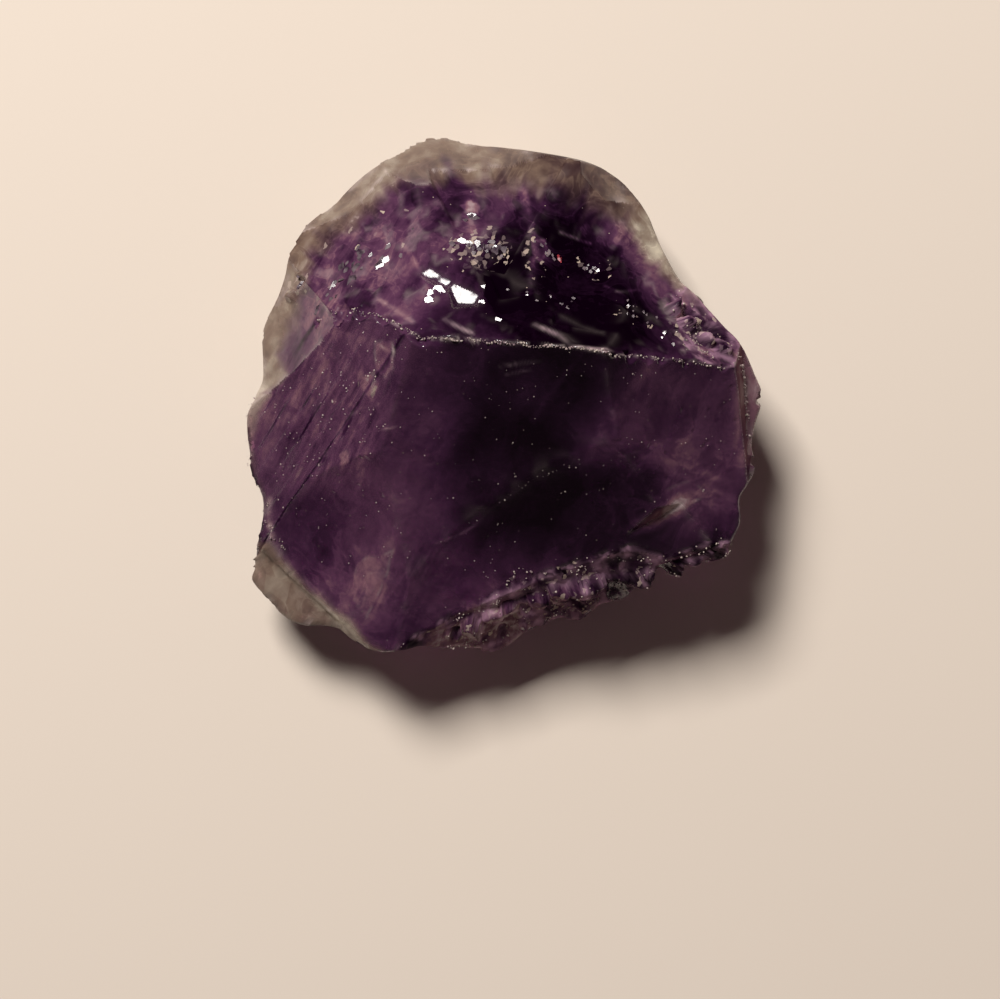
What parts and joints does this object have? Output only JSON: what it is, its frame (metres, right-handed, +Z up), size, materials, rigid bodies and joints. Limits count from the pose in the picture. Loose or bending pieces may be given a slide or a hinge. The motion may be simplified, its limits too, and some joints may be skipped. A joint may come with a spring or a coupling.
{
  "type": "amethyst chunk",
  "caption": "Rough broken chunk of dark purple amethyst with a long crest, smooth fracture faces, a crumbly crust and thin see-through rims; it lies on a flat fracture face.",
  "frame": {"origin": "under the middle of the outline, on the flat fracture face the chunk lies on", "axes": "+Z up out of the resting face; +X and +Y lie on the surface, with +Y towards the rounded, frosted side behind the crest"},
  "size_m": [0.0398, 0.0401, 0.0199],
  "materials": {
    "amethyst": "gloss"
  },
  "bodies": {
    "root": {"amethyst_chunk": "amethyst"}
  },
  "joints": []
}
